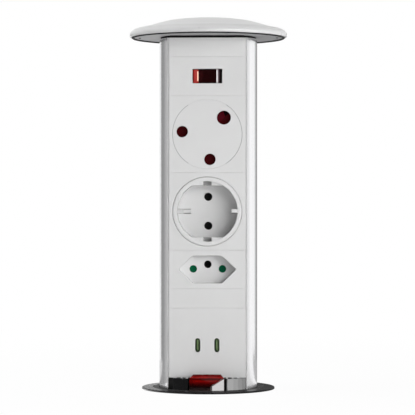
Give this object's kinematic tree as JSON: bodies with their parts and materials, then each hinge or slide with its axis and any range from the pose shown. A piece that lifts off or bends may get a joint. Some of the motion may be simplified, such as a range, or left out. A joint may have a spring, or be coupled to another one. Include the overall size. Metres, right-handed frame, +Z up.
{
  "type": "pop-up desk socket",
  "caption": "Round aluminium tower that pulls up through a desk collar, with a flat front of mixed plug sockets, a rocker switch and USB ports under a domed cap, and a red release latch.",
  "frame": {"origin": "on the tower's axis at the desk top, where the flange seats", "axes": "+Z up along the tower, the sockets face -Y"},
  "size_m": [0.1032, 0.1032, 0.3283],
  "materials": {
    "aluminium": "satin anodised",
    "pale_plastic": "fine matt",
    "satin_silver": "satin",
    "grey_plastic": "matt",
    "gloss_black": "polished",
    "black_plastic": "matt",
    "dark_metal": "satin",
    "rubber": "matt",
    "clear_red": "polished, see-through",
    "red_shutter": "satin",
    "green_shutter": "satin",
    "circuit_board": "lacquered",
    "steel": "bright",
    "brass": "bright",
    "copper": "bright",
    "white_plastic": "matt",
    "lamp_glass": "clear"
  },
  "bodies": {
    "desk_mount": {"flange_collar": "dark_metal", "flange_seal": "rubber", "guide_sleeve": "black_plastic"},
    "tower": {"tower_profile": "aluminium", "upper_blank_plate": "pale_plastic", "switch_plate": "pale_plastic", "type_m_plate": "pale_plastic", "type_m_insert": "pale_plastic", "type_f_plate": "pale_plastic", "type_f_cup": "pale_plastic", "type_n_plate": "pale_plastic", "lower_blank_plate": "pale_plastic", "usb_plate": "pale_plastic", "lower_plate": "pale_plastic", "cap_shell": "satin_silver", "cap_base": "grey_plastic", "foot_block": "gloss_black", "head_spacer": "black_plastic", "switch_housing": "black_plastic", "type_m_housing": "black_plastic", "type_f_housing": "black_plastic", "type_n_housing": "black_plastic", "usb_tray": "black_plastic", "base_plate": "black_plastic", "cable_gland": "black_plastic", "gland_nut": "black_plastic", "gland_lock_nut": "black_plastic", "cap_seal": "rubber", "usb_tongues": "green_shutter", "usb_board": "circuit_board", "cap_screws": "steel", "base_screws": "steel", "type_m_spring": "steel", "type_n_spring": "steel", "type_f_earth_clip": "steel", "usb_shells": "steel", "latch_pin": "steel", "catch_spring": "steel", "switch_terminals": "brass", "type_m_contacts": "brass", "type_f_contacts": "brass", "type_n_contacts": "brass", "bus_bars": "copper", "bus_carrier": "white_plastic", "switch_lamp": "lamp_glass"},
    "clamp_washer": {"clamp_washer": "steel"},
    "clamp_nut": {"clamp_nut": "black_plastic"},
    "switch_rocker": {"switch_rocker": "clear_red"},
    "type_m_shutter": {"type_m_shutter": "red_shutter"},
    "type_n_shutter": {"type_n_shutter": "green_shutter"},
    "release_latch": {"release_latch": "clear_red"}
  },
  "joints": [
    {"name": "tower_slide", "type": "slide", "parent": "desk_mount", "child": "tower", "axis": [0, 0, 1], "range_m": [-0.2284, 0], "deforming": ["catch_spring"]},
    {"name": "clamp_washer_slide", "type": "slide", "parent": "desk_mount", "child": "clamp_washer", "axis": [0, 0, 1], "range_m": [-0.017, 0.0189]},
    {"name": "clamp_nut_turn", "type": "hinge", "parent": "clamp_washer", "child": "clamp_nut", "pos_m": [0, 0, -0.034], "axis": [0, 0, 1], "range_deg": [-1500, 1680]},
    {"name": "rocker_tilt", "type": "hinge", "parent": "tower", "child": "switch_rocker", "pos_m": [0, -0.01433, 0.2035], "axis": [0, 0, 1], "range_deg": [0, 16]},
    {"name": "type_m_shutter_turn", "type": "hinge", "parent": "tower", "child": "type_m_shutter", "pos_m": [-0.00057, -0.01323, 0.16543], "axis": [0, 1, 0], "range_deg": [0, 36.89], "stiffness_Nm_per_rad": 0.02, "springref_deg": -28.65, "deforming": ["type_m_spring"]},
    {"name": "type_n_shutter_slide", "type": "slide", "parent": "tower", "child": "type_n_shutter", "axis": [0, 0, -1], "range_m": [0, 0.0058], "stiffness_N_per_m": 100, "springref_m": -0.003, "deforming": ["type_n_spring"]},
    {"name": "latch_press", "type": "hinge", "parent": "tower", "child": "release_latch", "pos_m": [0, -0.0268, -0.032], "axis": [-1, 0, 0], "range_deg": [0, 5], "stiffness_Nm_per_rad": 0.5, "springref_deg": -6.88, "deforming": ["catch_spring"]}
  ],
  "couplings": [
    {"joint": "clamp_washer_slide", "follows": "clamp_nut_turn", "m_per_rad": 0.00063662}
  ]
}
